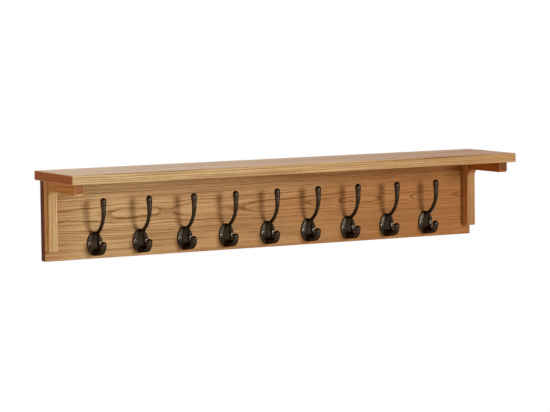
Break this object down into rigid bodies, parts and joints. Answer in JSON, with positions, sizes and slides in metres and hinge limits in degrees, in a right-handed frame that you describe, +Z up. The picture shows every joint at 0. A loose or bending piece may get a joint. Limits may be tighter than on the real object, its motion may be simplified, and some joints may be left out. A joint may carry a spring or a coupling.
{
  "type": "coat rack",
  "caption": "Wall coat rack: an oak shelf on two L-shaped brackets over a back board that carries a row of cast iron double hooks.",
  "frame": {"origin": "centre of the back board's rear face, in the plane of the wall", "axes": "+X along the rack to the right as seen from the front, +Y into the wall, +Z up"},
  "size_m": [0.989, 0.174, 0.175],
  "materials": {
    "oak_board": "oak, satin oiled, grain along the length",
    "oak_shelf": "oak, satin oiled, grain along the length",
    "oak_bracket": "oak, satin oiled, grain along the leg",
    "oak_arm": "oak, satin oiled, grain along the arm",
    "beech": "plain beech dowel",
    "cast_iron": "dark antique iron, satin",
    "nickel": "bright nickel plated, raised heads",
    "steel": "bright zinc plated",
    "zinc_plate": "zinc plated sheet"
  },
  "bodies": {
    "root": {"back_board": "oak_board", "shelf_board": "oak_shelf", "board_dowels": "beech", "bracket_left": "oak_bracket", "bracket_right": "oak_bracket", "bracket_arm_left": "oak_arm", "bracket_arm_right": "oak_arm", "bracket_dowels_left": "beech", "bracket_dowels_right": "beech", "bracket_joint_dowel_left": "beech", "bracket_joint_dowel_right": "beech", "bracket_screws_left": "steel", "bracket_screws_right": "steel", "hanger_screws_left": "steel", "hanger_screws_right": "steel", "hanger_plate_left": "zinc_plate", "hanger_plate_right": "zinc_plate", "hook_1": "cast_iron", "hook_2": "cast_iron", "hook_3": "cast_iron", "hook_4": "cast_iron", "hook_5": "cast_iron", "hook_6": "cast_iron", "hook_7": "cast_iron", "hook_8": "cast_iron", "hook_9": "cast_iron", "hook_screws_1": "nickel", "hook_screws_2": "nickel", "hook_screws_3": "nickel", "hook_screws_4": "nickel", "hook_screws_5": "nickel", "hook_screws_6": "nickel", "hook_screws_7": "nickel", "hook_screws_8": "nickel", "hook_screws_9": "nickel"}
  },
  "joints": []
}
